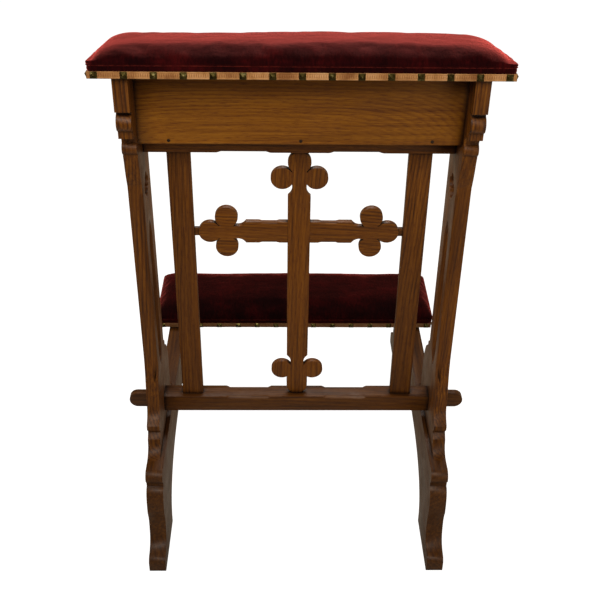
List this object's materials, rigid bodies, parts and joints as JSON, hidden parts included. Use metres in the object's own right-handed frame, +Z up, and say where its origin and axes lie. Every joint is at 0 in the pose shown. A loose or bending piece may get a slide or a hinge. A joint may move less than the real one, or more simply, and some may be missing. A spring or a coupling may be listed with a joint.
{
  "type": "kneeling bench",
  "caption": "Oak kneeling bench with pierced shaped side frames, a trefoil cross panel, a book box and velvet armrest and kneeler edged with braid and pyramid nails.",
  "frame": {"origin": "on the floor, under the middle of the bench's bounding box", "axes": "+X across the bench to the right as seen from the front, +Y from the panel towards the kneeling cushion, +Z up"},
  "size_m": [0.581, 0.67, 0.8785],
  "materials": {
    "oak": "waxed brown oak",
    "oak_dark": "waxed dark oak",
    "oak_apron": "waxed mid brown oak",
    "beech": "bare planed wood",
    "velvet": "cut pile, deep red",
    "padding": "loose curled hair under calico",
    "braid": "woven gold-brown braid",
    "nails": "aged bronze",
    "steel": "plain"
  },
  "bodies": {
    "root": {"left_upright": "oak", "right_upright": "oak", "left_foot_board": "oak_dark", "right_foot_board": "oak_dark", "foot_dowels": "beech", "bottom_rail": "oak", "top_rail": "oak", "left_slat": "oak", "right_slat": "oak", "cross_post": "oak", "left_cross_arm": "oak", "right_cross_arm": "oak", "arm_pegs": "oak", "front_apron": "oak_apron", "book_shelf": "oak_apron", "apron_pins": "steel", "left_armrest_batten": "beech", "right_armrest_batten": "beech", "armrest_screws": "steel", "armrest_board": "beech", "armrest_padding": "padding", "armrest_velvet": "velvet", "armrest_braid": "braid", "armrest_nails": "nails", "left_kneeler_cleat": "beech", "right_kneeler_cleat": "beech", "kneeler_screws": "steel", "kneeler_board": "beech", "kneeler_padding": "padding", "kneeler_velvet": "velvet", "kneeler_braid": "braid", "kneeler_nails": "nails"}
  },
  "joints": []
}
